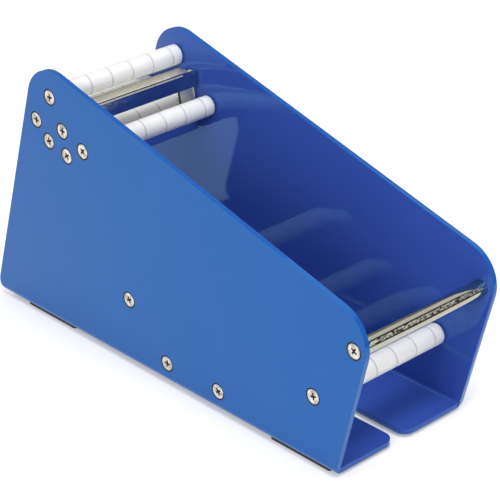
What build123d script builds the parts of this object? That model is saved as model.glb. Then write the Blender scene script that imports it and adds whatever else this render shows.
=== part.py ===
from build123d import *
import math
import os

# Label dispenser that stands free on a bench: two bent side plates, tied by rollers,
# bars and a rod. Frame: +X towards the low front, +Y from the near to the far plate,
# +Z up. The origin lies under the middle of the overall box, where the feet stand.

# Side plates
base_length = 300.0
body_width = 100.0
shoulder_height = 171.3
rear_lean_angle = 18.5
top_fall_angle = 15.2
front_lean_angle = 15.3
sheet_thickness = 3.0
bend_inner_radius = 1.5
heel_radius = 8.0
shoulder_radius = 25.0
nose_radius = 22.0
slot_width = 7.5
flange_corner_radius = 7.0

# Rubber strips under the flanges
foot_height = 2.0
foot_length = 46.0
foot_width = 12.0
foot_corner_radius = 1.5
rear_foot_distance = 17.0
front_foot_distance = 7.0

# Rollers on their fixed shafts
roller_diameter = 12.5
roller_end_gap = 1.2
roller_chamfer_width = 0.5
groove_count = 6
groove_pitch = 15.5
groove_width = 1.2
groove_depth = 0.45
shaft_diameter = 8.0
running_clearance = 0.06

# Rod at the front
rod_diameter = 9.5
rod_chamfer_width = 0.5

# Flat bars at the rear, under the line that the web takes below the infeed roller
web_gap = 1.0
bar_depth = 37.0
bar_thickness = 9.0
bar_chamfer_width = 0.5
bar_hole_spacing = 15.0
front_bar_lean_angle = 10.4
front_bar_offset = 8.0
peel_bar_lean_angle = 46.9
peel_edge_offset = 19.5
peel_edge_thickness = 0.6
peel_bevel_angle = 40.0
bar_clearance = 1.2

# Guide strap with an ear at each end
strap_thickness = 2.0
strap_height = 8.6
strap_gap = 4.5
strap_rise_height = 1.1
strap_bend_inner_radius = 1.2
ear_margin_width = 5.5
ear_corner_radius = 2.0

# Countersunk screws, the same for every axle, rod and bar end
screw_diameter = 5.0
screw_length = 15.0
head_diameter = 9.6
head_rim_height = 0.2
head_sink_depth = 0.05
head_clearance = 0.05
shank_clearance = 0.15
thread_clearance = 0.03
tapped_spare_depth = 3.0

overrun_length = 10.0

# The infeed roller, along the sloping top edge from its sharp rear corner and square below
infeed_distance = 18.0
infeed_depth = 18.0
# The guide roller, in front of the strap and below the line of the web
guide_roller_gap = 2.65
guide_roller_depth = 18.0
# The rod and the outfeed roller, set back square from the leaning front edge
rod_edge_distance = 8.5
rod_top_distance = 20.0
outfeed_edge_distance = 26.7
# Heights over the underside of the plates, and the cradle's gap over the flanges
upper_axle_height = 41.7
cradle_floor_gap = 3.25
# The roll cradle along the base
cradle_rear_share = 0.443
cradle_middle_share = 0.549
cradle_front_share = 0.694


def turned(angle):
    """Unit direction in the side view that leans forward from upright by an angle."""
    return (math.sin(math.radians(angle)), math.cos(math.radians(angle)))


def stepped(point, direction, distance):
    return (point[0] + direction[0] * distance, point[1] + direction[1] * distance)


def crossing(point_a, direction_a, point_b, direction_b):
    """Point where two lines of the side view cross."""
    turn = direction_a[0] * direction_b[1] - direction_a[1] * direction_b[0]
    gap_x = point_b[0] - point_a[0]
    gap_z = point_b[1] - point_a[1]
    reach = (gap_x * direction_b[1] - gap_z * direction_b[0]) / turn
    return stepped(point_a, direction_a, reach)


def backward(direction):
    return (-direction[0], -direction[1])


def round_centre(corner, direction_a, direction_b, radius):
    """Centre of the arc that rounds a corner between two unit directions."""
    middle = (direction_a[0] + direction_b[0], direction_a[1] + direction_b[1])
    size = math.hypot(*middle)
    cosine = direction_a[0] * direction_b[0] + direction_a[1] * direction_b[1]
    reach = radius / math.sin(math.acos(cosine) / 2)
    return stepped(corner, (middle[0] / size, middle[1] / size), reach)


# Sharp corners of the side outline, with x from the sharp heel
rear_up = turned(rear_lean_angle)
front_up = turned(front_lean_angle)
top_forward = (math.cos(math.radians(top_fall_angle)), -math.sin(math.radians(top_fall_angle)))
below_top = backward(turned(top_fall_angle))
behind_front = (-math.cos(math.radians(front_lean_angle)), math.sin(math.radians(front_lean_angle)))
heel = (0, foot_height)
toe = (base_length, foot_height)
shoulder = stepped(heel, rear_up, shoulder_height / rear_up[1])
nose = crossing(shoulder, top_forward, toe, front_up)

# The overall box runs from the rounded heel to the rounded nose, so this centres it
heel_round = round_centre(heel, (1, 0), rear_up, heel_radius)
nose_round = round_centre(nose, backward(top_forward), backward(front_up), nose_radius)
centre_x = (heel_round[0] - heel_radius + nose_round[0] + nose_radius) / 2
heel = (heel[0] - centre_x, heel[1])
toe = (toe[0] - centre_x, toe[1])
shoulder = (shoulder[0] - centre_x, shoulder[1])
nose = (nose[0] - centre_x, nose[1])
flange_rear_x = heel_round[0] - centre_x
flange_front_x = toe[0]
plate_top = shoulder[1]
outer_y = body_width / 2
inner_y = outer_y - sheet_thickness
bend_outer_radius = bend_inner_radius + sheet_thickness


def over_base(share, height):
    return (heel[0] + base_length * share, heel[1] + height)


lower_axle_height = sheet_thickness + cradle_floor_gap + roller_diameter / 2
infeed_axle = stepped(stepped(shoulder, top_forward, infeed_distance), below_top, infeed_depth)
cradle_rear_axle = over_base(cradle_rear_share, upper_axle_height)
cradle_middle_axle = over_base(cradle_middle_share, lower_axle_height)
cradle_front_axle = over_base(cradle_front_share, lower_axle_height)
outfeed_axle = crossing(
    stepped(toe, behind_front, outfeed_edge_distance), front_up,
    (heel[0], heel[1] + upper_axle_height), (1, 0))
rod_axle = crossing(
    stepped(toe, behind_front, rod_edge_distance), front_up,
    stepped(shoulder, below_top, rod_top_distance), top_forward)

# The web runs level under the infeed roller, over the front bar to the peel edge.
# Each bar has its own frame: up along its depth, forward across its thickness.
web_z = infeed_axle[1] - roller_diameter / 2 - web_gap
front_bar_up = turned(-front_bar_lean_angle)
front_bar_forward = (front_bar_up[1], -front_bar_up[0])
front_bar_centre = stepped(
    (infeed_axle[0] + front_bar_offset, web_z), front_bar_up, -bar_depth / 2)
peel_bar_up = turned(-peel_bar_lean_angle)
peel_bar_forward = (peel_bar_up[1], -peel_bar_up[0])
peel_bar_centre = stepped(
    stepped((infeed_axle[0] - peel_edge_offset, web_z), peel_bar_forward, -bar_thickness / 2),
    peel_bar_up, -bar_depth / 2)


def on_front_bar(forward, up):
    return stepped(stepped(front_bar_centre, front_bar_forward, forward), front_bar_up, up)


def on_peel_bar(forward, up):
    return stepped(stepped(peel_bar_centre, peel_bar_forward, forward), peel_bar_up, up)


# The front bar's top is cut level, as a table for the web
front_bar_top_rear = crossing(
    on_front_bar(-bar_thickness / 2, 0), front_bar_up, (infeed_axle[0], web_z), (1, 0))
front_bar_top_front = crossing(
    on_front_bar(bar_thickness / 2, 0), front_bar_up, (infeed_axle[0], web_z), (1, 0))


front_bar_screws = [on_front_bar(0, bar_hole_spacing / 2), on_front_bar(0, -bar_hole_spacing / 2)]
peel_bar_screws = [on_peel_bar(0, bar_hole_spacing / 2), on_peel_bar(0, -bar_hole_spacing / 2)]

# The peel bar's lower end stops clear of the front bar's rear face
peel_lower_end = crossing(
    on_peel_bar(bar_thickness / 2, 0), peel_bar_up,
    on_front_bar(-bar_thickness / 2 - bar_clearance, 0), front_bar_up)
peel_lower_reach = math.dist(peel_lower_end, on_peel_bar(bar_thickness / 2, 0))

# The guide strap rises a little over the front bar's top, the guide roller in front of it
strap_top = web_z + strap_rise_height
strap_bottom = strap_top - strap_height
arm_rear_x = front_bar_top_front[0]
strap_rear_x = arm_rear_x + strap_gap
strap_front_x = strap_rear_x + strap_thickness
arm_front_x = strap_rear_x - strap_bend_inner_radius
guide_axle = (
    strap_front_x + guide_roller_gap + roller_diameter / 2,
    web_z - guide_roller_depth)

rollers = {
    "infeed_roller": infeed_axle,
    "guide_roller": guide_axle,
    "cradle_roller_rear": cradle_rear_axle,
    "cradle_roller_middle": cradle_middle_axle,
    "cradle_roller_front": cradle_front_axle,
    "outfeed_roller": outfeed_axle,
}
screw_places = [*rollers.values(), rod_axle, *front_bar_screws, *peel_bar_screws]


def side_plane(y):
    """Plane of the side view at a distance across, seen with +X right and +Z up."""
    return Plane(origin=(0, y, 0), x_dir=(1, 0, 0), z_dir=(0, -1, 0))


def axle_plane(place):
    """Plane through an axle's line: its x runs along the axle, its y upwards."""
    return Plane(origin=(place[0], 0, place[1]), x_dir=(0, 1, 0), z_dir=(1, 0, 0))


def axle_axis(place):
    return Axis((place[0], 0, place[1]), (0, 1, 0))


def screw_planes():
    """Screw places on the near plate's outer face, facing out of it."""
    return [
        Plane(origin=(x, -outer_y, z), x_dir=(1, 0, 0), z_dir=(0, -1, 0))
        for x, z in screw_places
    ]


os.makedirs("parts", exist_ok=True)


def write(piece, name):
    piece.label = name
    export_step(piece, "parts/" + name + ".step")


# Near side plate: a bent L-section along X, trimmed to the side outline
with BuildPart() as near_side_plate:
    with BuildSketch(Plane.YZ.offset(heel[0] - overrun_length)) as section:
        with BuildLine():
            Polyline(
                (-outer_y, plate_top + overrun_length),
                (-outer_y, heel[1]),
                (-slot_width / 2, heel[1]),
                (-slot_width / 2, heel[1] + sheet_thickness),
                (-inner_y, heel[1] + sheet_thickness),
                (-inner_y, plate_top + overrun_length),
                close=True)
        make_face()
        fillet(section.vertices().sort_by_distance((-outer_y, heel[1]))[0], bend_outer_radius)
        fillet(section.vertices().sort_by_distance(
            (-inner_y, heel[1] + sheet_thickness))[0], bend_inner_radius)
    extrude(amount=nose[0] - heel[0] + 2 * overrun_length)

    with BuildSketch(side_plane(overrun_length)) as side_outline:
        with BuildLine():
            Polyline(heel, shoulder, nose, toe, close=True)
        make_face()
        fillet(side_outline.vertices().sort_by_distance(heel)[0], heel_radius)
        fillet(side_outline.vertices().sort_by_distance(shoulder)[0], shoulder_radius)
        fillet(side_outline.vertices().sort_by_distance(nose)[0], nose_radius)
    extrude(amount=outer_y + 2 * overrun_length, mode=Mode.INTERSECT)

    # The flange ends square, with rounded corners at the slot
    with BuildSketch(Plane.XY.offset(heel[1] - overrun_length)) as flange_trim:
        with BuildLine():
            Polyline(
                (heel[0] - overrun_length, -inner_y),
                (nose[0] + overrun_length, -inner_y),
                (nose[0] + overrun_length, overrun_length),
                (heel[0] - overrun_length, overrun_length),
                close=True)
        make_face()
        with BuildLine():
            Polyline(
                (flange_rear_x, -inner_y),
                (flange_front_x, -inner_y),
                (flange_front_x, -slot_width / 2),
                (flange_rear_x, -slot_width / 2),
                close=True)
        make_face(mode=Mode.SUBTRACT)
    extrude(amount=plate_top + 2 * overrun_length, mode=Mode.SUBTRACT)
    slot_corners = near_side_plate.edges().filter_by(Axis.Z).group_by(Axis.Y)[-1]
    fillet(slot_corners, flange_corner_radius)

    with Locations(*screw_planes()):
        CounterSinkHole(
            radius=screw_diameter / 2 + shank_clearance,
            counter_sink_radius=head_diameter / 2 + head_rim_height + head_sink_depth + head_clearance,
            counter_sink_angle=90,
            depth=sheet_thickness)
write(near_side_plate.part, "near_side_plate")

with BuildPart() as far_side_plate:
    mirror(near_side_plate.part, about=Plane.XZ)
write(far_side_plate.part, "far_side_plate")

# Rollers and shafts, turned about their axles
roller_length = 2 * (inner_y - roller_end_gap)
tapped_depth = screw_length - sheet_thickness + tapped_spare_depth
tapped_radius = screw_diameter / 2 + thread_clearance

for name, place in rollers.items():
    with BuildPart() as roller:
        with BuildSketch(axle_plane(place)) as roller_profile:
            with BuildLine():
                Polyline(
                    (-roller_length / 2, shaft_diameter / 2 + running_clearance),
                    (roller_length / 2, shaft_diameter / 2 + running_clearance),
                    (roller_length / 2, roller_diameter / 2),
                    (-roller_length / 2, roller_diameter / 2),
                    close=True)
            make_face()
            chamfer(roller_profile.vertices().group_by(Axis.Y)[-1], roller_chamfer_width)
            for k in range(groove_count):
                groove_at = (k - (groove_count - 1) / 2) * groove_pitch
                with BuildLine():
                    Polyline(
                        (groove_at - groove_width / 2, roller_diameter / 2),
                        (groove_at + groove_width / 2, roller_diameter / 2),
                        (groove_at, roller_diameter / 2 - groove_depth),
                        close=True)
                make_face(mode=Mode.SUBTRACT)
        revolve(axis=axle_axis(place))
    write(roller.part, name)

    with BuildPart() as shaft:
        with BuildSketch(axle_plane(place)):
            with BuildLine():
                Polyline(
                    (-inner_y, tapped_radius),
                    (-inner_y, shaft_diameter / 2),
                    (inner_y, shaft_diameter / 2),
                    (inner_y, tapped_radius),
                    (inner_y - tapped_depth, tapped_radius),
                    (inner_y - tapped_depth, 0),
                    (tapped_depth - inner_y, 0),
                    (tapped_depth - inner_y, tapped_radius),
                    close=True)
            make_face()
        revolve(axis=axle_axis(place))
    write(shaft.part, name + "_shaft")

# Rod that the labels pass over at the front
with BuildPart() as front_rod:
    with BuildSketch(axle_plane(rod_axle)) as rod_profile:
        with BuildLine():
            Polyline(
                (-inner_y, tapped_radius),
                (-inner_y, rod_diameter / 2),
                (inner_y, rod_diameter / 2),
                (inner_y, tapped_radius),
                (inner_y - tapped_depth, tapped_radius),
                (inner_y - tapped_depth, 0),
                (tapped_depth - inner_y, 0),
                (tapped_depth - inner_y, tapped_radius),
                close=True)
        make_face()
        chamfer(rod_profile.vertices().group_by(Axis.Y)[-1], rod_chamfer_width)
    revolve(axis=axle_axis(rod_axle))
write(front_rod.part, "front_rod")

# Front bar, between the ears of the guide strap
front_bar_half = inner_y - strap_thickness
with BuildPart() as front_bar:
    with BuildSketch(side_plane(front_bar_half)):
        with BuildLine():
            Polyline(
                on_front_bar(-bar_thickness / 2, -bar_depth / 2),
                on_front_bar(bar_thickness / 2, -bar_depth / 2),
                front_bar_top_front,
                front_bar_top_rear,
                close=True)
        make_face()
    extrude(amount=2 * front_bar_half)
    chamfer(front_bar.edges().filter_by(Axis.Y), bar_chamfer_width)
    for x, z in front_bar_screws:
        for side in (-1, 1):
            with Locations(Plane(
                    origin=(x, side * front_bar_half, z), x_dir=(1, 0, 0), z_dir=(0, side, 0))):
                Hole(radius=tapped_radius, depth=tapped_depth - strap_thickness)
write(front_bar.part, "front_bar")

# Peel bar, bevelled from below to a thin edge at its upper end
with BuildPart() as peel_bar:
    with BuildSketch(side_plane(inner_y)) as peel_outline:
        with BuildLine():
            bevel_depth = (bar_thickness - peel_edge_thickness) / math.tan(
                math.radians(peel_bevel_angle))
            Polyline(
                on_peel_bar(-bar_thickness / 2, -peel_lower_reach),
                on_peel_bar(bar_thickness / 2, -peel_lower_reach),
                on_peel_bar(bar_thickness / 2, bar_depth / 2),
                on_peel_bar(bar_thickness / 2 - peel_edge_thickness, bar_depth / 2),
                on_peel_bar(-bar_thickness / 2, bar_depth / 2 - bevel_depth),
                close=True)
        make_face()
    extrude(amount=2 * inner_y)
    for x, z in peel_bar_screws:
        for side in (-1, 1):
            with Locations(Plane(
                    origin=(x, side * inner_y, z), x_dir=(1, 0, 0), z_dir=(0, side, 0))):
                Hole(radius=tapped_radius, depth=tapped_depth)
write(peel_bar.part, "peel_bar")

# Guide strap: a leg across the front bar's face, with ears bent back along the plates
ear_reach = bar_hole_spacing / 2 + ear_margin_width
with BuildPart() as guide_strap:
    with BuildSketch(Plane.XY.offset(strap_bottom)) as strap_plan:
        with BuildLine():
            Polyline(
                (arm_rear_x, -inner_y),
                (strap_front_x, -inner_y),
                (strap_front_x, inner_y),
                (arm_rear_x, inner_y),
                (arm_rear_x, front_bar_half),
                (strap_rear_x, front_bar_half),
                (strap_rear_x, -front_bar_half),
                (arm_rear_x, -front_bar_half),
                close=True)
        make_face()
        strap_corners = strap_plan.vertices().group_by(Axis.X)
        fillet(strap_corners[-1], strap_bend_inner_radius + strap_thickness)
        fillet(strap_corners[-2], strap_bend_inner_radius)
    extrude(amount=strap_height)
    for y in (inner_y, -front_bar_half):
        with BuildSketch(side_plane(y)) as ear_outline:
            with BuildLine():
                Polyline(
                    on_front_bar(-bar_thickness / 2, ear_reach),
                    on_front_bar(-bar_thickness / 2, -ear_reach),
                    on_front_bar(bar_thickness / 2, -ear_reach),
                    (arm_front_x, strap_bottom),
                    (arm_front_x, strap_top),
                    (arm_rear_x, strap_top),
                    close=True)
            make_face()
            fillet(ear_outline.vertices().sort_by(Axis.Y)[:2], ear_corner_radius)
        extrude(amount=strap_thickness)
    with Locations(*[
            Plane(origin=(x, -inner_y, z), x_dir=(1, 0, 0), z_dir=(0, -1, 0))
            for x, z in front_bar_screws]):
        Hole(radius=screw_diameter / 2 + shank_clearance, depth=2 * inner_y)
write(guide_strap.part, "guide_strap")

# Countersunk screws
head_height = head_sink_depth + head_rim_height + (head_diameter - screw_diameter) / 2
with BuildPart() as screw:
    with BuildSketch(Plane.XZ):
        with BuildLine():
            Polyline(
                (0, -head_sink_depth),
                (head_diameter / 2, -head_sink_depth),
                (head_diameter / 2, -head_sink_depth - head_rim_height),
                (screw_diameter / 2, -head_height),
                (screw_diameter / 2, -screw_length),
                (0, -screw_length),
                close=True)
        make_face()
    revolve(axis=Axis.Z)

with BuildPart() as near_screws:
    with Locations(*screw_planes()):
        add(screw.part)
write(near_screws.part, "near_screws")

with BuildPart() as far_screws:
    mirror(near_screws.part, about=Plane.XZ)
write(far_screws.part, "far_screws")

# Rubber strips, one under each end of each flange
foot_y = outer_y - bend_outer_radius - foot_width / 2
rear_foot_x = flange_rear_x + rear_foot_distance + foot_length / 2
front_foot_x = flange_front_x - front_foot_distance - foot_length / 2
feet = {
    "near_rear_foot": (rear_foot_x, -foot_y),
    "near_front_foot": (front_foot_x, -foot_y),
    "far_rear_foot": (rear_foot_x, foot_y),
    "far_front_foot": (front_foot_x, foot_y),
}
for name, place in feet.items():
    with BuildPart() as foot:
        with BuildSketch():
            with Locations(place):
                RectangleRounded(foot_length, foot_width, foot_corner_radius)
        extrude(amount=foot_height)
    write(foot.part, name)
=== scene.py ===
import bpy
import math
from mathutils import Matrix, Vector


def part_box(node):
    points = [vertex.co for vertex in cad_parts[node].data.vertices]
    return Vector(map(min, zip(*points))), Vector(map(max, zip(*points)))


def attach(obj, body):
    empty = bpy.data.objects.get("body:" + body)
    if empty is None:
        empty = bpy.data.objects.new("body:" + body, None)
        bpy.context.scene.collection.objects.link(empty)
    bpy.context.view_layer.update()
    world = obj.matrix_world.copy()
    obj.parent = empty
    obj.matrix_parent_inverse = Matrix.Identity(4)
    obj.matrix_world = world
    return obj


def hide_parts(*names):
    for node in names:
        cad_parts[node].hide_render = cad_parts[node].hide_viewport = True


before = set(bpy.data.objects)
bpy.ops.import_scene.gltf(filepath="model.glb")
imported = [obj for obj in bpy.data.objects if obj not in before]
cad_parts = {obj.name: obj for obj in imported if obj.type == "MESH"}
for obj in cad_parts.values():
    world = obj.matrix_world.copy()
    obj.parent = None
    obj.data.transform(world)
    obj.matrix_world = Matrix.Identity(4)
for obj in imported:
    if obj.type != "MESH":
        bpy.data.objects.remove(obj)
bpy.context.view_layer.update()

# Studio: the camera stands in front of the near side plate, above it and to its right.
# Its place and turn were solved from the outline and the screws in the photograph.
MM = 0.001
scene = bpy.context.scene
scene.view_settings.view_transform = "Standard"

camera_azimuth = math.radians(47.838)
camera_elevation = math.radians(26.844)
camera_roll = math.radians(-1.414)
camera_place = Vector((723.7, -637.2, 556.0)) * MM
camera_forward = Vector((
    -math.sin(camera_azimuth) * math.cos(camera_elevation),
    math.cos(camera_azimuth) * math.cos(camera_elevation),
    -math.sin(camera_elevation)))
level_right = Vector((math.cos(camera_azimuth), math.sin(camera_azimuth), 0))
level_up = level_right.cross(camera_forward)
camera_right = level_right * math.cos(camera_roll) + level_up * math.sin(camera_roll)
camera_up = level_up * math.cos(camera_roll) - level_right * math.sin(camera_roll)
bpy.ops.object.camera_add()
camera = bpy.context.object
camera.name = "camera"
camera.matrix_world = Matrix((
    (*camera_right, 0), (*camera_up, 0), (*(-camera_forward), 0), (0, 0, 0, 1))).transposed()
camera.location = camera_place
camera.data.sensor_width = 36
camera.data.lens = 135.33
camera.data.clip_start = 0.01
camera.data.clip_end = 100
scene.camera = camera


# Light: a white room all round and three softboxes: overhead, in front of the near plate and
# to the right. The floor shows white and keeps the shadow. Two black cards and a grey one
# stand out of view and darken what the chrome reflects.
class Shade:
    """A value in a material. Python arithmetic on it adds Math nodes."""

    def __init__(self, paint, socket):
        self.paint = paint
        self.socket = socket

    def combine(self, operation, *values):
        node = self.paint.node("Math", {"operation": operation}, dict(enumerate(values)))
        return Shade(self.paint, node.outputs[0])

    def __add__(self, other):
        return self.combine("ADD", self, other)

    def __radd__(self, other):
        return self.combine("ADD", other, self)

    def __sub__(self, other):
        return self.combine("SUBTRACT", self, other)

    def __rsub__(self, other):
        return self.combine("SUBTRACT", other, self)

    def __mul__(self, other):
        return self.combine("MULTIPLY", self, other)

    def __rmul__(self, other):
        return self.combine("MULTIPLY", other, self)

    def __truediv__(self, other):
        return self.combine("DIVIDE", self, other)

    def most(self, other):
        return self.combine("MAXIMUM", self, other)

    def size(self):
        return self.combine("ABSOLUTE", self)

    def fraction(self):
        return self.combine("FRACT", self)

    def ramp(self, low, high):
        """0 under low, 1 over high and smooth between them."""
        node = self.paint.node(
            "MapRange", {"interpolation_type": "SMOOTHSTEP"}, {0: self, 1: low, 2: high})
        return Shade(self.paint, node.outputs[0])


class Paint:
    """A node tree under construction, for a material or for the world."""

    def __init__(self, tree):
        self.tree = tree
        self.tree.nodes.clear()

    def node(self, kind, settings, values):
        """A node of a kind, with its settings and then its sockets' values or links."""
        node = self.tree.nodes.new("ShaderNode" + kind)
        for name, setting in settings.items():
            setattr(node, name, setting)
        for name, value in values.items():
            if isinstance(value, Shade):
                self.tree.links.new(value.socket, node.inputs[name])
            elif isinstance(value, bpy.types.NodeSocket):
                self.tree.links.new(value, node.inputs[name])
            else:
                node.inputs[name].default_value = value
        return node

    def shade(self, kind, settings, values, output=0):
        return Shade(self, self.node(kind, settings, values).outputs[output])

    def place(self):
        """The Object coordinates, as a vector socket."""
        return self.node("TexCoord", {}, {}).outputs["Object"]

    def parts(self, vector):
        """The x, y and z of a vector."""
        split = self.node("SeparateXYZ", {}, {0: vector})
        return [Shade(self, part) for part in split.outputs]

    def noise(self, vector, scale, detail=3.0, roughness=0.5):
        return self.shade(
            "TexNoise", {}, {"Vector": vector, "Scale": scale, "Detail": detail,
                             "Roughness": roughness})

    def stretched(self, vector, scale):
        return self.node("Mapping", {}, {"Vector": vector, "Scale": scale}).outputs[0]

    def blend(self, factor, colour_a, colour_b):
        node = self.node(
            "Mix", {"data_type": "RGBA"}, {"Factor": factor, 6: colour_a, 7: colour_b})
        return node.outputs[2]

    def bump(self, height, strength, distance):
        return self.node(
            "Bump", {}, {"Height": height, "Strength": strength, "Distance": distance}).outputs[0]

    def surface(self, **values):
        """The Principled surface and its output, with sockets named in words."""
        named = {name.replace("_", " ").title(): value for name, value in values.items()}
        if "Ior" in named:
            named["IOR"] = named.pop("Ior")
        body = self.node("BsdfPrincipled", {}, named)
        self.node("OutputMaterial", {}, {"Surface": body.outputs[0]})


def new_paint(name):
    material = bpy.data.materials.new(name)
    material.use_nodes = True
    return material, Paint(material.node_tree)


def in_sight(paint):
    """1 for what is seen straight, through glass or in a reflection, 0 for what gives light."""
    rays = paint.node("LightPath", {}, {})
    seen = Shade(paint, rays.outputs["Is Camera Ray"])
    for kind in ("Is Transmission Ray", "Is Glossy Ray"):
        seen = seen.most(Shade(paint, rays.outputs[kind]))
    return seen


def deselect():
    bpy.ops.object.select_all(action="DESELECT")


white = (1, 1, 1, 1)
room_light = 0.68
world = bpy.data.worlds.new("white_room")
scene.world = world
world.use_nodes = True
room = Paint(world.node_tree)
seen = in_sight(room)
dim_room = room.node("Background", {}, {"Color": white, "Strength": room_light})
white_room = room.node("Background", {}, {"Color": white, "Strength": 1.0})
shown_room = room.node(
    "MixShader", {}, {0: seen, 1: dim_room.outputs[0], 2: white_room.outputs[0]})
room.node("OutputWorld", {}, {"Surface": shown_room.outputs[0]})

floor_size = 8.0
floor_tone = 0.8
floor_glow = 0.24
deselect()
bpy.ops.mesh.primitive_plane_add(size=floor_size, location=(0, 0, 0))
floor = bpy.context.object
floor.name = "floor"
floor_white, floor_paint = new_paint("pale_floor")
seen = in_sight(floor_paint)
pale = floor_paint.node("BsdfDiffuse", {}, {"Color": (floor_tone, floor_tone, floor_tone, 1)})
glow = floor_paint.node("Emission", {}, {"Color": white, "Strength": floor_glow})
lifted = floor_paint.node("AddShader", {}, {0: pale.outputs[0], 1: glow.outputs[0]})
shown_floor = floor_paint.node(
    "MixShader", {}, {0: seen, 1: pale.outputs[0], 2: lifted.outputs[0]})
floor_paint.node("OutputMaterial", {}, {"Surface": shown_floor.outputs[0]})
floor.data.materials.append(floor_white)

light_target = Vector((0, 0, 0.08))
for name, place, wide, high, power in (
        ("overhead_softbox", Vector((0.35, -0.10, 1.45)), 0.7, 0.7, 11.0),
        ("front_softbox", Vector((0.52, -1.20, 0.80)), 0.5, 0.4, 5.6),
        ("right_softbox", Vector((1.35, -0.15, 0.70)), 0.5, 0.7, 2.2)):
    bpy.ops.object.light_add(type="AREA", location=place)
    softbox = bpy.context.object
    softbox.name = name
    softbox.data.shape = "RECTANGLE"
    softbox.data.size = wide
    softbox.data.size_y = high
    softbox.data.energy = power
    aim = light_target - place
    softbox.rotation_euler = aim.to_track_quat("-Z", "Y").to_euler()

card_length = 1.6
for name, place, degrees, wide, tone in (
        ("black_card", (0.98, 0.95, 0.29), 12.0, 2.4, 0.07),
        ("lying_card", (0.82, 0.95, 0.001), 90.0, 0.96, 0.07),
        ("grey_card", (-0.88, 0.95, 0.55), 152.0, 1.8, 0.3)):
    card_coat, card_paint = new_paint(name)
    flat = card_paint.node("BsdfDiffuse", {}, {"Color": (tone, tone, tone, 1)})
    card_paint.node("OutputMaterial", {}, {"Surface": flat.outputs[0]})
    card_turn = math.radians(degrees)
    deselect()
    bpy.ops.mesh.primitive_plane_add(
        size=1, location=place, rotation=(0, math.pi / 2 - card_turn, 0))
    card = bpy.context.object
    card.name = name
    card.scale = (wide, card_length, 1)
    card.visible_camera = False
    card.visible_diffuse = False
    card.visible_shadow = False
    card.data.materials.append(card_coat)


# Side plates: 3 mm steel sheet, laser cut, bent once along the bottom and powder coated
# a glossy blue. The far plate is the near one mirrored.
sheet = 3.0 * MM
outer_y = 50.0 * MM
slot_half = 3.75 * MM
plate_low = 2.0 * MM
heel_radius = 8.0 * MM
shoulder_radius = 25.0 * MM
nose_radius = 22.0 * MM
bend_radius = 4.5 * MM
flange_corner_radius = 7.0 * MM
edge_radius = 1.25 * MM
bend_steps = 12
small_corner_steps = 16
large_corner_steps = 40
edge_steps = 5
same_place = 0.02 * MM
base_length = 300.0 * MM
shoulder_height = 171.3 * MM
rear_lean = math.radians(18.5)
top_fall = math.radians(15.2)
front_lean = math.radians(15.3)
plate_low_corner, plate_high_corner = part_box("near_side_plate")
cross_turn = (math.pi / 2, 0, 0)


def choose(piece):
    deselect()
    piece.select_set(True)
    bpy.context.view_layer.objects.active = piece


def pick_vertices(piece, test):
    """In edit mode, select only the vertices that pass a test on their place."""
    bpy.ops.mesh.select_mode(type="VERT")
    bpy.ops.mesh.select_all(action="DESELECT")
    bpy.ops.object.mode_set(mode="OBJECT")
    for vertex in piece.data.vertices:
        vertex.select = test(vertex.co)
    bpy.ops.object.mode_set(mode="EDIT")


def pick_edges(piece, test):
    """In edit mode, select only the edges whose two ends pass a test."""
    bpy.ops.mesh.select_mode(type="EDGE")
    bpy.ops.mesh.select_all(action="DESELECT")
    bpy.ops.object.mode_set(mode="OBJECT")
    places = piece.data.vertices
    for edge in piece.data.edges:
        edge.select = all(test(places[k].co) for k in edge.vertices)
    bpy.ops.object.mode_set(mode="EDIT")


def near(a, b):
    return abs(a - b) < same_place


def apply_modifier(piece, kind, **settings):
    choose(piece)
    modifier = piece.modifiers.new(kind.lower(), kind)
    for name, value in settings.items():
        setattr(modifier, name, value)
    bpy.ops.object.modifier_apply(modifier=modifier.name)


def round_edges(piece, width, steps, degrees):
    """Round the edges that turn by more than an angle."""
    apply_modifier(
        piece, "BEVEL", width=width, segments=steps, limit_method="ANGLE",
        angle_limit=math.radians(degrees))


def smooth(piece, degrees):
    """Shade smooth, apart from the edges that turn by more than an angle."""
    choose(piece)
    bpy.ops.object.shade_smooth_by_angle(angle=math.radians(degrees))


def flatten_faces(piece):
    """Keep the large faces flat in the shading, beside their rounded edges."""
    apply_modifier(piece, "WEIGHTED_NORMAL", keep_sharp=True, weight=100)


def paint_with(piece, *materials):
    piece.data.materials.clear()
    for material in materials:
        piece.data.materials.append(material)


def settle(piece):
    """Put the piece's place into its mesh."""
    choose(piece)
    bpy.ops.object.transform_apply(location=True, rotation=True, scale=True)


def joined(pieces):
    deselect()
    for piece in pieces:
        piece.select_set(True)
    bpy.context.view_layer.objects.active = pieces[0]
    bpy.ops.object.join()
    return bpy.context.object


def cut_with(piece, cutter, operation):
    apply_modifier(piece, "BOOLEAN", operation=operation, object=cutter, solver="EXACT")
    bpy.data.objects.remove(cutter)


def tangent_length(radius, corner):
    """Distance from a sharp corner to where its rounding starts."""
    return radius / math.tan(corner / 2)


heel_corner = math.pi / 2 - rear_lean
shoulder_corner = math.pi / 2 + rear_lean - top_fall
nose_corner = math.pi / 2 + top_fall - front_lean
heel_reach = tangent_length(heel_radius, heel_corner)
heel_x = plate_low_corner[0] - (heel_reach - heel_radius)
heel = Vector((heel_x, plate_low))
toe = Vector((heel_x + base_length, plate_low))
shoulder = heel + Vector((math.tan(rear_lean), 1)) * shoulder_height
top_slope = math.tan(top_fall)
front_slope = math.tan(front_lean)
nose_height = (shoulder_height - (toe.x - shoulder.x) * top_slope) / (
    1 + top_slope * front_slope)
nose = toe + Vector((front_slope, 1)) * nose_height

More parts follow.
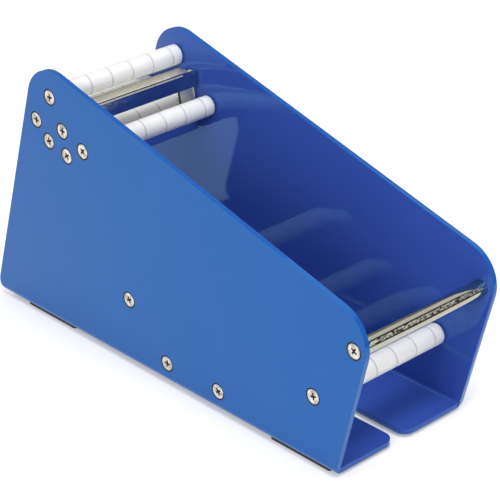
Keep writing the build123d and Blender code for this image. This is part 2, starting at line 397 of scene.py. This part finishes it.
# The sheet with its bend, longer than needed: the flange is drawn from the bottom edge
overrun = 10.0 * MM
sheet_low = plate_low_corner[0] - overrun
sheet_high = plate_high_corner[0] + overrun
sheet_top = plate_high_corner[2] + overrun
deselect()
bpy.ops.mesh.primitive_plane_add(size=1, rotation=cross_turn)
near_plate = bpy.context.object
near_plate.name = "near_side_plate_sheet"
near_plate.scale = (sheet_high - sheet_low, sheet_top - plate_low, 1)
near_plate.location = ((sheet_high + sheet_low) / 2, -outer_y, (sheet_top + plate_low) / 2)
settle(near_plate)
bpy.ops.object.mode_set(mode="EDIT")
pick_edges(near_plate, lambda co: near(co.z, plate_low))
bpy.ops.mesh.extrude_edges_move(
    TRANSFORM_OT_translate={"value": (0, outer_y - slot_half, 0)})
pick_edges(near_plate, lambda co: near(co.z, plate_low) and near(co.y, -outer_y))
bpy.ops.mesh.bevel(offset=bend_radius, segments=bend_steps, profile=0.5, affect="EDGES")
bpy.ops.mesh.select_all(action="SELECT")
bpy.ops.mesh.normals_make_consistent(inside=False)
bpy.ops.object.mode_set(mode="OBJECT")
flat_face = max(near_plate.data.polygons, key=lambda face: face.area)
apply_modifier(
    near_plate, "SOLIDIFY", thickness=sheet, offset=-1 if flat_face.normal.y < 0 else 1,
    use_even_offset=True, use_quality_normals=True)

# The outline that trims it: a square corner is moved to each sharp corner and rounded
deselect()
bpy.ops.mesh.primitive_plane_add(
    size=base_length, location=(0, -outer_y - overrun, base_length / 2),
    rotation=cross_turn)
outline = bpy.context.object
settle(outline)
bpy.ops.object.mode_set(mode="EDIT")
for side_x, side_z, corner in (
        (-1, 0, heel), (-1, 1, shoulder), (1, 1, nose), (1, 0, toe)):
    start = Vector((side_x * base_length / 2, side_z * base_length))
    pick_vertices(outline, lambda co: near(co.x, start.x) and near(co.z, start.y))
    bpy.ops.transform.translate(value=(corner.x - start.x, 0, corner.y - start.y))
for corner, radius, angle, steps in (
        (heel, heel_radius, heel_corner, small_corner_steps),
        (shoulder, shoulder_radius, shoulder_corner, large_corner_steps),
        (nose, nose_radius, nose_corner, large_corner_steps)):
    pick_vertices(outline, lambda co: near(co.x, corner.x) and near(co.z, corner.y))
    bpy.ops.mesh.bevel(
        offset=tangent_length(radius, angle), segments=steps, profile=0.5, affect="VERTICES")
bpy.ops.mesh.select_all(action="SELECT")
bpy.ops.mesh.extrude_region_move(
    TRANSFORM_OT_translate={"value": (0, outer_y + 2 * overrun, 0)})
bpy.ops.mesh.select_all(action="SELECT")
bpy.ops.mesh.normals_make_consistent(inside=False)
bpy.ops.object.mode_set(mode="OBJECT")
cut_with(near_plate, outline, "INTERSECT")

# The flange ends square behind the toe and at the heel's arc, with rounded corners
for low, high in ((sheet_low, heel.x + heel_reach), (toe.x, sheet_high + overrun)):
    deselect()
    bpy.ops.mesh.primitive_cube_add(size=1)
    block = bpy.context.object
    block.scale = (high - low, outer_y, 4 * overrun)
    block.location = ((low + high) / 2, sheet - outer_y / 2, 0)
    settle(block)
    cut_with(near_plate, block, "DIFFERENCE")
choose(near_plate)
bpy.ops.object.mode_set(mode="EDIT")
for end in (heel.x + heel_reach, toe.x):
    pick_edges(near_plate, lambda co: near(co.y, -slot_half) and near(co.x, end))
    bpy.ops.mesh.bevel(
        offset=flange_corner_radius, segments=small_corner_steps, profile=0.5, affect="EDGES")
bpy.ops.object.mode_set(mode="OBJECT")
round_edges(near_plate, edge_radius, edge_steps, 40)

# Screw holes: where each screw stands is read from the frame's own shafts and bars
screw_axles = [
    "infeed_roller_shaft", "guide_roller_shaft", "cradle_roller_rear_shaft",
    "cradle_roller_middle_shaft", "cradle_roller_front_shaft", "outfeed_roller_shaft",
    "front_rod"]


def axle_of(node):
    low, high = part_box(node)
    return Vector(((low[0] + high[0]) / 2, 0, (low[2] + high[2]) / 2))


bar_thickness = 9.0 * MM
bar_depth = 37.0 * MM
bar_hole_spacing = 15.0 * MM
front_bar_lean = math.radians(10.4)
peel_bar_lean = math.radians(46.9)
web_gap = 1.0 * MM
front_bar_ahead = 8.0 * MM
peel_edge_behind = 19.5 * MM


def lean_back(angle):
    """Unit vectors up along a bar and forward across it, for a lean to the rear."""
    up = Vector((-math.sin(angle), 0, math.cos(angle)))
    return up, Vector((up.z, 0, -up.x))


infeed_axle = axle_of("infeed_roller_shaft")
roller_radius = (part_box("infeed_roller")[1][2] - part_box("infeed_roller")[0][2]) / 2
web_z = infeed_axle.z - roller_radius - web_gap
front_up, front_forward = lean_back(front_bar_lean)
peel_up, peel_forward = lean_back(peel_bar_lean)
front_bar_centre = Vector((infeed_axle.x + front_bar_ahead, 0, web_z)) - front_up * bar_depth / 2
peel_bar_centre = (
    Vector((infeed_axle.x - peel_edge_behind, 0, web_z))
    - peel_forward * bar_thickness / 2 - peel_up * bar_depth / 2)
screw_places = [axle_of(node) for node in screw_axles]
for centre, up in ((front_bar_centre, front_up), (peel_bar_centre, peel_up)):
    screw_places.append(centre + up * bar_hole_spacing / 2)
    screw_places.append(centre - up * bar_hole_spacing / 2)

countersink_radius = 5.2 * MM
countersink_overlap = sheet / 10
shank_hole_radius = 2.65 * MM
cone_facets = 64
drill_facets = 48
cones = []
drills = []
for place in screw_places:
    deselect()
    bpy.ops.mesh.primitive_cone_add(
        vertices=cone_facets, radius1=countersink_radius + countersink_overlap, radius2=0.0,
        depth=countersink_radius + countersink_overlap, rotation=(-math.pi / 2, 0, 0),
        location=(
            place.x, -outer_y + (countersink_radius - countersink_overlap) / 2, place.z))
    cones.append(bpy.context.object)
    bpy.ops.mesh.primitive_cylinder_add(
        vertices=drill_facets, radius=shank_hole_radius, depth=4 * sheet, rotation=cross_turn,
        location=(place.x, -outer_y + sheet, place.z))
    drills.append(bpy.context.object)
for cutters in (cones, drills):
    cut_with(near_plate, joined(cutters), "DIFFERENCE")
smooth(near_plate, 40)
flatten_faces(near_plate)


def powder_coat(name, low_tone, high_tone, shine):
    """Glossy coat with slight mottling and orange peel, and tinted reflections."""
    material, paint = new_paint(name)
    vector = paint.place()
    mottle = paint.noise(vector, 35.0, 2.0)
    peel = paint.noise(vector, 900.0, 2.0)
    grain = paint.noise(vector, 5200.0, 1.0)
    blue = paint.blend(mottle, (*low_tone, 1), (*high_tone, 1))
    height = peel * 0.7 + grain * 0.3
    paint.surface(
        base_color=blue, roughness=0.035 + mottle * 0.02, ior=1.6,
        specular_tint=(*shine, 1),
        normal=paint.bump(height, 0.04, 0.05 * MM))
    return material


outer_blue = powder_coat(
    "outer_blue", (0.012, 0.084, 0.36), (0.014, 0.091, 0.38), (0.0, 0.60, 1.0))
# The faces inside the plates get a more violet copy of the blue: painted colour of the shade
# inside.
inner_shaded_blue = powder_coat(
    "inner_shaded_blue", (0.034, 0.080, 0.37), (0.038, 0.087, 0.39), (0.14, 0.60, 1.0))
# Near-black coat for the countersinks' cone faces and the strap flaps' edges: painted shade in the
# gap round each screw head and along each flap.
painted_shade_edge, paint = new_paint("countersink_painted_shade")
vector = paint.place()
shade_mottle = paint.noise(vector, 900.0, 2.0)
dark = paint.blend(shade_mottle, (0.020, 0.018, 0.022, 1), (0.05, 0.045, 0.05, 1))
paint.surface(base_color=dark, metallic=0.3, roughness=0.6 + shade_mottle * 0.2)
paint_with(near_plate, outer_blue, painted_shade_edge, inner_shaded_blue)
flat_enough = 0.9
# The cone faces of the countersinks take the painted shade; the faces inside the plates take the
# inner blue.
for face in near_plate.data.polygons:
    sunk = any(math.hypot(face.center.x - place.x, face.center.z - place.z) < countersink_radius
               for place in screw_places)
    if sunk and abs(face.normal.y) < flat_enough:
        face.material_index = 1
    elif face.center.y > sheet - outer_y - same_place:
        face.material_index = 2

choose(near_plate)
bpy.ops.object.duplicate()
far_plate = bpy.context.object
far_plate.name = "far_side_plate_sheet"
far_plate.scale = (1, -1, 1)
settle(far_plate)

for plate, node in ((near_plate, "near_side_plate"), (far_plate, "far_side_plate")):
    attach(plate, "frame")
    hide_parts(node)


# Rollers: white plastic tubes turned with six shallow grooves and a rounded edge at each
# end, free to spin on their steel shafts. The six are the same.
roller_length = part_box("infeed_roller")[1][1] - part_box("infeed_roller")[0][1]
roller_bore = 4.06 * MM
roller_edge = 0.6 * MM
groove_pitch = 15.5 * MM
groove_width = 1.3 * MM
groove_depth = 0.45 * MM
groove_count = 6
roller_facets = 96

deselect()
bpy.ops.mesh.primitive_cylinder_add(
    vertices=roller_facets, radius=roller_radius, depth=roller_length,
    end_fill_type="NOTHING", rotation=cross_turn)
roller = bpy.context.object
settle(roller)
bpy.ops.object.mode_set(mode="EDIT")
groove_middles = [(k - (groove_count - 1) / 2) * groove_pitch for k in range(groove_count)]
groove_shape = ((-0.5, 0), (-0.28, 0.55), (0, 1), (0.28, 0.55), (0.5, 0))
for middle in groove_middles:
    for share, sink in groove_shape:
        bpy.ops.mesh.select_all(action="SELECT")
        bpy.ops.mesh.bisect(
            plane_co=(0, middle + share * groove_width, 0), plane_no=(0, 1, 0))
for middle in groove_middles:
    for share, sink in groove_shape[1:-1]:
        ring = middle + share * groove_width
        pick_vertices(roller, lambda co: near(co.y, ring))
        shrink = 1 - sink * groove_depth / roller_radius
        bpy.ops.transform.resize(value=(shrink, 1, shrink), center_override=(0, ring, 0))
for side in (-1, 1):
    pick_edges(roller, lambda co: near(co.y, side * roller_length / 2))
    bpy.ops.mesh.extrude_edges_move(TRANSFORM_OT_translate={"value": (0, 0, 0)})
    shrink = roller_bore / roller_radius
    bpy.ops.transform.resize(
        value=(shrink, 1, shrink), center_override=(0, side * roller_length / 2, 0))
pick_edges(roller, lambda co: math.hypot(co.x, co.z) < roller_bore * 1.01)
bpy.ops.mesh.bridge_edge_loops()
bpy.ops.mesh.select_all(action="SELECT")
bpy.ops.mesh.normals_make_consistent(inside=False)
bpy.ops.object.mode_set(mode="OBJECT")
round_edges(roller, roller_edge, 3, 60)
smooth(roller, 35)
flatten_faces(roller)

white_plastic, paint = new_paint("white_plastic")
vector = paint.place()
y = paint.parts(vector)[1]
cloud = paint.noise(paint.stretched(vector, (1.0, 0.25, 1.0)), 60.0, 3.0)
turning = paint.noise(paint.stretched(vector, (0.02, 1.0, 0.02)), 2600.0, 2.0)
# Painted groove shade: grey by the distance from the nearest groove, in pitches kept above zero
whole_pitches = 20
groove_reach = groove_pitch * groove_count / 2
fade = 0.1 * MM
along = (y / groove_pitch + 0.5 + whole_pitches).fraction()
from_groove = ((along - 0.5).size() * -1 + 0.5) * groove_pitch
inside = 1 - y.size().ramp(groove_reach - fade, groove_reach + fade)
line = (1 - from_groove.ramp(0.1 * groove_width, 0.75 * groove_width)) * inside
cream = paint.blend(cloud, (0.82, 0.815, 0.80, 1), (0.87, 0.865, 0.855, 1))
groove_shaded_cream = paint.blend(line * 0.7, cream, (0.42, 0.42, 0.42, 1))
paint.surface(
    base_color=groove_shaded_cream, roughness=0.34 + cloud * 0.1, ior=1.49,
    subsurface_weight=0.9, subsurface_radius=(1, 1, 1), subsurface_scale=6.0 * MM,
    normal=paint.bump(turning, 0.05, 0.03 * MM))

roller_names = [
    "infeed_roller", "guide_roller", "cradle_roller_rear", "cradle_roller_middle",
    "cradle_roller_front", "outfeed_roller"]
paint_with(roller, white_plastic)
for name in roller_names:
    choose(roller)
    bpy.ops.object.duplicate()
    copy = bpy.context.object
    copy.name = name + "_turned"
    copy.location = axle_of(name)
    settle(copy)
    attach(copy, name + "_body")
    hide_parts(name)
bpy.data.objects.remove(roller)


# Shafts: ground steel bar inside the rollers, seen only in the gap at a roller's end.
# Screws through the side plates hold them fast.
bright_steel, paint = new_paint("bright_steel")
vector = paint.place()
rings = paint.noise(paint.stretched(vector, (0.02, 1.0, 0.02)), 1800.0, 2.0)
stain = paint.noise(vector, 120.0, 3.0)
steel = paint.blend(stain, (0.44, 0.43, 0.42, 1), (0.56, 0.55, 0.53, 1))
paint.surface(
    base_color=steel, metallic=1.0, roughness=0.28 + rings * 0.12,
    normal=paint.bump(rings, 0.08, 0.02 * MM))
for name in roller_names:
    paint_with(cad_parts[name + "_shaft"], bright_steel)


# Rod and flat bars: bright plated steel. The rod is screwed up in the front's top corner,
# the front bar and the peel bar carry the web at the rear.
def plated(name, low_tone, high_tone, glint_part):
    """Bright plating with drawing marks along y, haze, and light rough specks painted as glints on
    a given part.
    """
    material, paint = new_paint(name)
    vector = paint.place()
    draw = paint.noise(paint.stretched(vector, (1.0, 0.03, 1.0)), 420.0, 4.0, 0.6)
    haze = paint.noise(vector, 45.0, 4.0, 0.6)
    specks = paint.noise(paint.stretched(vector, (1.0, 0.5, 1.0)), 800.0, 4.0, 0.7)
    tone = paint.blend(haze, (*low_tone, 1), (*high_tone, 1))
    roughness = 0.05 + haze * 0.05 + specks.ramp(0.62, 0.8) * 0.15
    if glint_part:
        # Specks on the given part turn lighter and rougher: painted glints and reflection.
        glint_specks = specks.ramp(0.36, 0.56) * glint_part(*paint.parts(vector))
        roughness = roughness + glint_specks * 0.45
        tone = paint.blend(glint_specks, tone, (0.74, 0.73, 0.67, 1))
    paint.surface(
        base_color=tone, metallic=1.0, roughness=roughness,
        normal=paint.bump(draw, 0.10, 0.03 * MM))
    return material


rod_radius = (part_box("front_rod")[1][2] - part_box("front_rod")[0][2]) / 2
rod_axle = axle_of("front_rod")
glint_band_angle = math.radians(32.0)
glint_band_side = Vector((math.cos(glint_band_angle), 0, math.sin(glint_band_angle)))


def rod_glint_band(x, y, z):
    """1 on a band along the rod's upper front, where specks are painted as a lighter reflection."""
    facing = (x - rod_axle.x) * glint_band_side.x + (z - rod_axle.z) * glint_band_side.z
    return facing.ramp(0.96 * rod_radius, 0.988 * rod_radius)


def strap_glint_patch(x, y, z):
    """1 at the near end of the strap's top, where specks are painted as glints."""
    along = 1 - y.ramp(-35.0 * MM, 15.0 * MM)
    return along * z.ramp(web_z - 4.5 * MM, web_z - 0.5 * MM) * 0.6


# The strap is toned darker and the bars lighter than one plating would be: painted shade of the dim
# inside the strap reflects, and painted light on the rollers the bars mirror.
rod_chrome = plated("chrome_rod", (0.39, 0.38, 0.31), (0.47, 0.46, 0.39), rod_glint_band)
bar_chrome = plated("chrome_bars", (0.90, 0.90, 0.88), (0.95, 0.95, 0.93), None)
strap_chrome = plated("chrome_strap", (0.50, 0.50, 0.47), (0.60, 0.60, 0.57), strap_glint_patch)

# Ground finish on the bar tops and the strap's lower faces; its light beige tone on the bar tops is
# also a painted reflection of the rollers above them.
ground_plating, paint = new_paint("ground_plating")
vector = paint.place()
scratch = paint.noise(paint.stretched(vector, (1.0, 0.4, 1.0)), 900.0, 3.0)
dull = paint.blend(scratch, (0.60, 0.57, 0.48, 1), (0.92, 0.89, 0.80, 1))
paint.surface(
    base_color=dull, metallic=1.0, roughness=0.38 + scratch * 0.15,
    normal=paint.bump(scratch, 0.15, 0.03 * MM))

inner_y = outer_y - sheet
rod_facets = 96
rod_edge = 0.5 * MM
deselect()
bpy.ops.mesh.primitive_cylinder_add(
    vertices=rod_facets, radius=rod_radius, depth=2 * inner_y, rotation=cross_turn,
    location=rod_axle)
rod = bpy.context.object
rod.name = "front_rod_plated"
settle(rod)
round_edges(rod, rod_edge, 3, 60)
smooth(rod, 35)


def flat_bar(name, centre, up, half_length, low, high):
    """A bar across the plates: a cube stretched to its section and leaned back."""
    deselect()
    bpy.ops.mesh.primitive_cube_add(size=1)
    bar = bpy.context.object
    bar.name = name
    bar.scale = (bar_thickness, 2 * half_length, high - low)
    bar.location = centre + up * (high + low) / 2
    bar.rotation_euler = (0, -math.atan2(-up.x, up.z), 0)
    settle(bar)
    return bar


def trim(piece, point, away):
    """Cut off what lies beyond a plane, and close the cut."""
    choose(piece)
    bpy.ops.object.mode_set(mode="EDIT")
    bpy.ops.mesh.select_all(action="SELECT")
    bpy.ops.mesh.bisect(plane_co=point, plane_no=away, use_fill=True, clear_outer=True)
    bpy.ops.mesh.select_all(action="SELECT")
    bpy.ops.mesh.normals_make_consistent(inside=False)
    bpy.ops.object.mode_set(mode="OBJECT")


strap_sheet = 2.0 * MM
front_bar_edge = 0.45 * MM
peel_bar_edge = 0.15 * MM
ground_depth = 0.1 * MM
front_bar_half = inner_y - strap_sheet
front_bar = flat_bar(
    "front_bar_plated", front_bar_centre, front_up, front_bar_half,
    -bar_depth / 2, bar_depth / 2 + bar_thickness)
trim(front_bar, (0, 0, web_z), (0, 0, 1))
peel_low_reach = (
    peel_bar_centre.z - peel_forward.z * bar_thickness / 2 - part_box("peel_bar")[0][2]) / peel_up.z
peel_bar = flat_bar(
    "peel_bar_plated", peel_bar_centre, peel_up, inner_y, -peel_low_reach, bar_depth / 2)
peel_edge_land = 0.6 * MM
peel_bevel_angle = math.radians(40.0)
edge_start = (
    peel_bar_centre + peel_up * bar_depth / 2
    + peel_forward * (bar_thickness / 2 - peel_edge_land))
trim(peel_bar, edge_start, (
    -peel_forward * math.cos(peel_bevel_angle) + peel_up * math.sin(peel_bevel_angle)))
for bar, width in ((front_bar, front_bar_edge), (peel_bar, peel_bar_edge)):
    round_edges(bar, width, 3, 30)
    smooth(bar, 40)
    flatten_faces(bar)
for piece, node, finish in (
        (rod, "front_rod", rod_chrome), (front_bar, "front_bar", bar_chrome),
        (peel_bar, "peel_bar", bar_chrome)):
    paint_with(piece, finish, ground_plating)
    for face in piece.data.polygons:
        if face.center.z > web_z - ground_depth:
            face.material_index = 1
    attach(piece, "frame")
    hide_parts(node)


# Guide strap: thin plated strip in front of the front bar. Its arms are bent back along
# the side plates, and the front bar's screws clamp the ears on them.
strap_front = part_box("guide_strap")[1][0]
strap_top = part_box("guide_strap")[1][2]
strap_depth = 8.6 * MM
strap_bottom = strap_top - strap_depth
strap_bend = 1.2 * MM
strap_bend_steps = 10
strap_lean = 0.4 * MM
strap_edge = 0.25 * MM
ear_reach = 13.0 * MM
ear_corner = 2.0 * MM
ear_corner_steps = 6
strap_slack = 0.05 * MM
to_face = front_forward * bar_thickness / 2
bar_front_x = front_bar_centre.x + to_face.x - (
    web_z - front_bar_centre.z - to_face.z) * math.tan(front_bar_lean)
deselect()
bpy.ops.mesh.primitive_plane_add(size=1, rotation=(0, math.pi / 2, 0))
strap = bpy.context.object
strap.name = "guide_strap_plated"
strap.scale = (strap_top - strap_bottom, 2 * inner_y, 1)
strap.location = (strap_front, 0, (strap_top + strap_bottom) / 2)
settle(strap)
bpy.ops.object.mode_set(mode="EDIT")
for side in (-1, 1):
    pick_edges(strap, lambda co: near(co.y, side * inner_y))
    bpy.ops.mesh.extrude_edges_move(
        TRANSFORM_OT_translate={"value": (bar_front_x - strap_front, 0, 0)})
pick_edges(strap, lambda co: near(co.x, strap_front) and near(abs(co.y), inner_y))
bpy.ops.mesh.bevel(
    offset=strap_bend + strap_sheet, segments=strap_bend_steps, profile=0.5, affect="EDGES")
bpy.ops.mesh.select_all(action="SELECT")
bpy.ops.mesh.normals_make_consistent(inside=False)
bpy.ops.object.mode_set(mode="OBJECT")
flat_face = max(strap.data.polygons, key=lambda face: face.area)
apply_modifier(
    strap, "SOLIDIFY", thickness=strap_sheet, offset=-1 if flat_face.normal.x > 0 else 1,
    use_even_offset=True, use_quality_normals=True)
arm_front_x = strap_front - strap_sheet - strap_bend
ear_places = [
    front_bar_centre - to_face + front_up * ear_reach,
    front_bar_centre - to_face - front_up * ear_reach,
    front_bar_centre + to_face - front_up * ear_reach,
    Vector((arm_front_x, 0, strap_bottom)),
    Vector((arm_front_x, 0, strap_top)),
    Vector((bar_front_x, 0, strap_top))]
for side in (-1, 1):
    deselect()
    bpy.ops.mesh.primitive_circle_add(
        vertices=len(ear_places), radius=bar_depth, fill_type="NGON", rotation=cross_turn)
    ear = bpy.context.object
    ear.location.y = side * inner_y
    settle(ear)
    corners = [vertex.co.copy() for vertex in ear.data.vertices]
    bpy.ops.object.mode_set(mode="EDIT")
    for start, place in zip(corners, ear_places):
        pick_vertices(ear, lambda co: (co - start).length < same_place)
        bpy.ops.transform.translate(value=(place.x - start.x, 0, place.z - start.z))
    pick_vertices(ear, lambda co: any(
        near(co.x, place.x) and near(co.z, place.z) for place in ear_places[:2]))
    bpy.ops.mesh.bevel(
        offset=ear_corner, segments=ear_corner_steps, profile=0.5, affect="VERTICES")
    bpy.ops.mesh.select_all(action="SELECT")
    bpy.ops.mesh.extrude_region_move(
        TRANSFORM_OT_translate={"value": (0, -side * strap_sheet, 0)})
    bpy.ops.mesh.select_all(action="SELECT")
    bpy.ops.mesh.normals_make_consistent(inside=False)
    bpy.ops.object.mode_set(mode="OBJECT")
    cut_with(strap, ear, "UNION")

# Each end is folded over as a flap that lies on the front bar's face
flap_sheet = 0.9 * MM
flap_width = 10.6 * MM
for side in (-1, 1):
    deselect()
    bpy.ops.mesh.primitive_cube_add(size=1)
    flap = bpy.context.object
    flap.scale = (flap_sheet, flap_width, 2 * ear_reach)
    flap.location = front_bar_centre + front_forward * (bar_thickness + flap_sheet) / 2
    flap.location.y = side * (front_bar_half - flap_width / 2)
    flap.rotation_euler = (0, -front_bar_lean, 0)
    settle(flap)
    cut_with(strap, flap, "UNION")

# The strip between the arms leans back a little
choose(strap)
bpy.ops.object.mode_set(mode="EDIT")
strap_middle = (strap_top + strap_bottom) / 2
for side in (-1, 1):
    pick_vertices(
        strap, lambda co: co.x > arm_front_x + strap_slack and (co.z - strap_middle) * side > 0)
    bpy.ops.transform.translate(value=(-side * strap_lean, 0, 0))
bpy.ops.object.mode_set(mode="OBJECT")
round_edges(strap, strap_edge, 2, 40)
smooth(strap, 40)
flatten_faces(strap)
paint_with(strap, strap_chrome, ground_plating, painted_shade_edge)
# The strap's lower faces get the ground finish; the flaps' inner edges get the near-black coat,
# painted shade along each flap.
for face in strap.data.polygons:
    if face.center.z < strap_bottom and abs(face.center.y) < front_bar_half + strap_slack:
        face.material_index = 2 if near(abs(face.center.y), front_bar_half - flap_width) else 1
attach(strap, "frame")
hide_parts("guide_strap")


# Screws: zinc plated, countersunk, with a cross recess. Each stands at its own turn. The recess,
# the head's sides and the ring between head and powder coat are painted dark: painted shade.
head_radius = 4.3 * MM
head_sink = 0.15 * MM
head_rim = 0.2 * MM
recess_depth = 1.9 * MM
recess_width = 1.5 * MM
recess_length = 6.6 * MM
screw_length = 15.0 * MM
shank_radius = 2.5 * MM
screw_edge = 0.12 * MM
screw_facets = 64
deselect()
bpy.ops.mesh.primitive_cylinder_add(
    vertices=screw_facets, radius=head_radius, depth=head_rim,
    location=(0, 0, -head_sink - head_rim / 2))
screw = bpy.context.object
settle(screw)
bpy.ops.object.mode_set(mode="EDIT")
pick_vertices(screw, lambda co: co.z < -head_sink - head_rim / 2)
bpy.ops.mesh.select_mode(type="FACE")
cone_drop = head_radius - shank_radius
shank_drop = screw_length - head_rim - head_radius + shank_radius - head_sink
shrink = shank_radius / head_radius
bpy.ops.mesh.extrude_region_move(TRANSFORM_OT_translate={"value": (0, 0, -cone_drop)})
bpy.ops.transform.resize(value=(shrink, shrink, 1), center_override=(0, 0, 0))
bpy.ops.mesh.extrude_region_move(TRANSFORM_OT_translate={"value": (0, 0, -shank_drop)})
bpy.ops.object.mode_set(mode="OBJECT")

# The cross recess: two tapered blades, one across the other
recess_taper = (0.35, 0.6, 1)
for turn in (0, math.pi / 2):
    deselect()
    bpy.ops.mesh.primitive_cube_add(size=1)
    blade = bpy.context.object
    blade.scale = (recess_length, recess_width, 2 * recess_depth)
    settle(blade)
    bpy.ops.object.mode_set(mode="EDIT")
    pick_vertices(blade, lambda co: co.z < 0)
    bpy.ops.transform.resize(value=recess_taper, center_override=(0, 0, -recess_depth))
    bpy.ops.object.mode_set(mode="OBJECT")
    blade.rotation_euler = (0, 0, turn)
    settle(blade)
    cut_with(screw, blade, "DIFFERENCE")
round_edges(screw, screw_edge, 2, 35)
smooth(screw, 40)
flatten_faces(screw)

zinc, paint = new_paint("zinc_screw")
vector = paint.place()
haze = paint.noise(vector, 260.0, 3.0)
fine = paint.noise(vector, 2400.0, 2.0)
bright = paint.blend(haze.ramp(0.35, 0.62), (0.40, 0.37, 0.31, 1), (0.76, 0.73, 0.67, 1))
paint.surface(
    base_color=bright, metallic=1.0, roughness=0.25 + haze * 0.15,
    normal=paint.bump(fine, 0.12, 0.03 * MM))
# Dark brown coat for the recess walls and the head's sides: painted shade in the cross recess and
# in the gap to the countersink.
recess_painted_shade, paint = new_paint("recess_painted_shade")
vector = paint.place()
shade_mottle = paint.noise(vector, 900.0, 2.0)
dark = paint.blend(shade_mottle, (0.035, 0.022, 0.012, 1), (0.11, 0.07, 0.04, 1))
paint.surface(base_color=dark, metallic=0.5, roughness=0.6 + shade_mottle * 0.1)
paint_with(screw, zinc, recess_painted_shade)
painted_shade_depth = 0.25 * MM
for face in screw.data.polygons:
    if face.normal.z < flat_enough or face.center.z < -head_sink - painted_shade_depth:
        face.material_index = 1

recess_turns = (20, 65, 40, 10, 55, 30, 75, 15, 50, 5, 35)
side_turn = 17
for side, body_name in ((-1, "near_screws"), (1, "far_screws")):
    copies = []
    for place, degrees in zip(screw_places, recess_turns):
        choose(screw)
        bpy.ops.object.duplicate()
        copy = bpy.context.object
        turned = Matrix.Rotation(math.radians(degrees + side_turn * side), 4, "Z")
        stood = Matrix.Rotation(-side * math.pi / 2, 4, "X")
        copy.matrix_world = (
            Matrix.Translation((place.x, side * outer_y, place.z)) @ stood @ turned)
        settle(copy)
        copies.append(copy)
    group = joined(copies)
    group.name = body_name + "_plated"
    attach(group, "frame")
    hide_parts(body_name)
bpy.data.objects.remove(screw)


# Feet: black rubber strips with a moulded skin, glued under the flanges at both ends. They
# reach a little past the plates and show there as dark lines below the blue.
rubber, paint = new_paint("black_rubber")
vector = paint.place()
skin = paint.noise(vector, 1500.0, 3.0)
dust = paint.noise(vector, 90.0, 3.0)
black = paint.blend(dust, (0.012, 0.012, 0.012, 1), (0.028, 0.027, 0.026, 1))
paint.surface(
    base_color=black, roughness=0.6 + dust * 0.2, normal=paint.bump(skin, 0.3, 0.08 * MM))
foot_overhang = 1.5 * MM
foot_corner = 1.5 * MM
foot_corner_steps = 6
foot_edge = 0.25 * MM
for name in ("near_rear_foot", "near_front_foot", "far_rear_foot", "far_front_foot"):
    low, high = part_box(name)
    if low[1] < 0:
        low[1] -= foot_overhang
    else:
        high[1] += foot_overhang
    deselect()
    bpy.ops.mesh.primitive_cube_add(size=1)
    foot = bpy.context.object
    foot.name = name + "_strip"
    foot.scale = [high[k] - low[k] for k in range(3)]
    foot.location = [(high[k] + low[k]) / 2 for k in range(3)]
    settle(foot)
    bpy.ops.object.mode_set(mode="EDIT")
    bpy.ops.mesh.select_mode(type="EDGE")
    bpy.ops.mesh.select_all(action="DESELECT")
    bpy.ops.object.mode_set(mode="OBJECT")
    places = foot.data.vertices
    # The four upright edges are the strip's corners
    for edge in foot.data.edges:
        first, second = (places[k].co for k in edge.vertices)
        edge.select = near(first.x, second.x) and near(first.y, second.y)
    bpy.ops.object.mode_set(mode="EDIT")
    bpy.ops.mesh.bevel(offset=foot_corner, segments=foot_corner_steps, affect="EDGES")
    bpy.ops.object.mode_set(mode="OBJECT")
    round_edges(foot, foot_edge, 2, 60)
    smooth(foot, 40)
    paint_with(foot, rubber)
    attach(foot, "frame")
    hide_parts(name)
